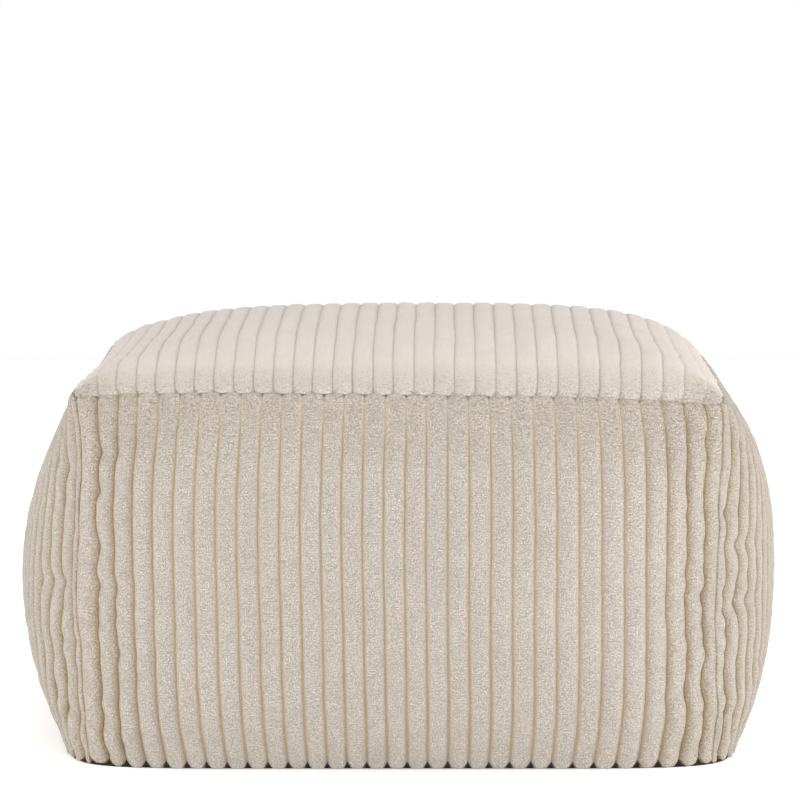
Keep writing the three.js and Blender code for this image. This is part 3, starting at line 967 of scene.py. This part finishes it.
def make_top():
    """The top panel: the crown with its ribs raised along its normals, in the same way as
    a side panel. The ribs are faint beside the side seams, and the corners are flatter."""
    first, last = TOP_RIBS
    corner, reach = CORNER["top"], REACH["top"]
    rib = rib_places(first, last)
    step = np.linspace(-1, 1, TOP_ROWS)[:, None]
    back = (1 - TOP_STEEPNESS) * step + TOP_STEEPNESS * np.sin(np.pi / 2 * step)
    along = back * reach + 0 * rib
    ribs = rib + 0 * along
    to_seam = np.minimum(rib - first, last - rib)
    free = 1 - bell(to_seam, TOP_HELD_RIBS)
    sway = unevenness(along, ribs, *TOP_WAVE) * TOP_WAVE_SWAY
    sway += unevenness(along, ribs, *TOP_BEND) * TOP_BEND_SWAY
    whole = (rib - first) / (last - first)
    share = whole + (sway * free - TOP_DRIFT * 4 * whole * (1 - whole)) / (last - first)
    points = top_form(even_across(share, corner, reach), back + 0 * rib)
    points[..., 2] += SEAM_GAP
    table = np.linspace(0, 1, TOP_TABLE_STEPS)
    rows = np.interp(back, even_across(table, corner, reach), table) * CAGE_ACROSS
    gathers = read_grid(push["top"], rows + 0 * rib, share * CAGE_ACROSS)
    to_end = TOP_HALF_RIBS * (1 - np.abs(back))
    points += gathers * gather_weight(np.maximum(to_seam, to_end), 0.0)
    front_gap = (1 + back) * reach + 0 * rib
    back_gap = (1 - back) * reach + 0 * rib
    front_nose, front_open = noses(front_gap, rib, SEAM_BLUNT, SEAM_CUT)
    back_nose, back_open = noses(back_gap, rib, SEAM_BLUNT, SEAM_CUT)
    end_gap = np.minimum(front_gap, back_gap)
    grooves = 1 - TOP_FAINT[0] * bell(to_seam, TOP_FAINT[1])
    grooves = grooves + TOP_DEEPER[0] * fade(end_gap, TOP_DEEPER[1])
    section = 1 - (1 - rib_section(rib, 0 * rib, TOP_RIB)) * grooves
    at_corner = np.exp(-((to_seam / TOP_CORNER[0]) ** 2) - (end_gap / TOP_CORNER[1]) ** 2)
    pile = section * front_nose * back_nose * seam_round(to_seam, 1.0)
    pile = pile * (1 - CORNER_FLATTER * at_corner)
    lift = RIB_HEIGHT * pile * (1 + PILE_UNEVEN * unevenness(along, ribs, *TOP_PILE_CELL))
    lift[:, [0, -1]] = 0
    points += outward(points) * lift[..., None]
    points[..., 2] -= NOSE_PRESS * pile * fade(end_gap, END_FADE)
    middle = np.array([[0, 0, seam_plane(0, 0) + SEAM_GAP]])
    # Beside the front and back seams the pile is gathered and its band darkened, partly as
    # painted shade.
    gather = np.clip(1 - end_gap / TOP_GATHER_LENGTH, 0, 1) * TOP_GATHER_SHARE[0]
    gather = gather + TOP_GATHER_SHARE[1] * at_corner
    uneven = unevenness(along, ribs, *TOP_TONE_CELL)
    marks = {
        "groove": rib_edge(rib) ** 4 * grooves * (0.34 + 0.20 * uneven),
        # Painted shade between the noses at the front and back seams, and a faint even share of
        # it over the whole top.
        "painted_shade": 0.35 * (front_open + back_open) + 0.05,
        "gather": gather,
        "nap": TOP_NAP + gather,
        "foot_shade": 0 * along,
    }
    # On the cloth map it lies past the four side panels.
    across = (whole + 5) * MAP_WIDTH + 0 * along
    cover_panel("top_cover", "top_panel", points, middle, marks, across, along)


make_top()


# ------------------------------------------------
# Floor, light and camera. A plain pale floor under a wide overhead softbox, with a softbox
# at each side and white all round.

FLOOR_SIZE = 6.0
FLOOR_COLOUR = (0.94, 0.94, 0.94, 1)
FLOOR_GLOW = 0.24              # a lightbox floor, lit a little from below
WHITE = (1.0, 1.0, 1.0, 1)
AMBIENT_STRENGTH = 0.61
# The boxes' places, the points they face, their widths and heights, and watts.
SOFTBOXES = {
    "overhead": ((0.0, 0.0, 3.0), (0, 0, 0.2), (5.0, 5.0), 42.0),
    "left_softbox": ((-2.4, -0.6, 0.8), (0, 0, 0.15), (1.4, 1.4), 28.0),
    "right_softbox": ((2.4, -0.6, 0.8), (0, 0, 0.15), (1.4, 1.4), 39.5),
    "front_fill": ((0.0, -5.0, 0.8), (0, 0, 0.15), (3.0, 2.0), 102.0),
}
CAMERA_PLACE = (0.0, -3.3992, 0.5413)
CAMERA_AIM = (-0.0022, 0.0, 0.2221)
CAMERA_LENS = 220.2            # focal length and sensor width, in millimetres
CAMERA_SENSOR = 36.0
CAMERA_SIGHT = 100             # how far it sees


def make_floor():
    """One pale square far larger than the view."""
    half = FLOOR_SIZE / 2
    corners = np.array([(-half, -half, 0), (half, -half, 0), (half, half, 0), (-half, half, 0)])
    floor = make_mesh("floor", corners, np.array([[0, 1, 2, 3]]))
    paint = Shader("Pale floor").finish(
        Base_Color=FLOOR_COLOUR,
        Roughness=0.9,
        Emission_Color=WHITE,
        Emission_Strength=FLOOR_GLOW,
    )
    floor.data.materials.append(paint)


def light_all_round():
    """A white surround: the camera sees it full white, and it lights the object less."""
    world = bpy.data.worlds.new("Studio")
    world.use_nodes = True
    nodes, links = world.node_tree.nodes, world.node_tree.links
    ambient = nodes["Background"]
    ambient.inputs["Color"].default_value = WHITE
    ambient.inputs["Strength"].default_value = AMBIENT_STRENGTH
    seen = nodes.new("ShaderNodeBackground")
    seen.inputs["Color"].default_value = WHITE
    ray = nodes.new("ShaderNodeLightPath")
    either = nodes.new("ShaderNodeMixShader")
    links.new(ray.outputs["Is Camera Ray"], either.inputs["Fac"])
    links.new(ambient.outputs["Background"], either.inputs[1])
    links.new(seen.outputs["Background"], either.inputs[2])
    links.new(either.outputs["Shader"], nodes["World Output"].inputs["Surface"])
    bpy.context.scene.world = world


def point_at(thing, aim):
    """Turns a light or camera to face a point."""
    way = np.array(aim, dtype=float) - np.array(thing.location)
    level = math.hypot(way[0], way[1])
    turn = math.atan2(way[0], way[1])
    thing.rotation_euler = (math.pi / 2 + math.atan2(way[2], level), 0, -turn)


def add_softbox(name, place, aim, size, power):
    """An area light that faces a point."""
    lamp = bpy.data.lights.new(name, "AREA")
    lamp.shape = "RECTANGLE"
    lamp.size, lamp.size_y = size
    lamp.energy = power
    box = bpy.data.objects.new(name, lamp)
    bpy.context.scene.collection.objects.link(box)
    box.location = place
    point_at(box, aim)


make_floor()
light_all_round()
for name, settings in SOFTBOXES.items():
    add_softbox(name, *settings)

lens = bpy.data.cameras.new("Camera")
lens.lens = CAMERA_LENS
lens.sensor_width = CAMERA_SENSOR
lens.clip_end = CAMERA_SIGHT
camera = bpy.data.objects.new("Camera", lens)
bpy.context.scene.collection.objects.link(camera)
camera.location = CAMERA_PLACE
point_at(camera, CAMERA_AIM)
bpy.context.scene.camera = camera
bpy.context.scene.view_settings.view_transform = "Standard"
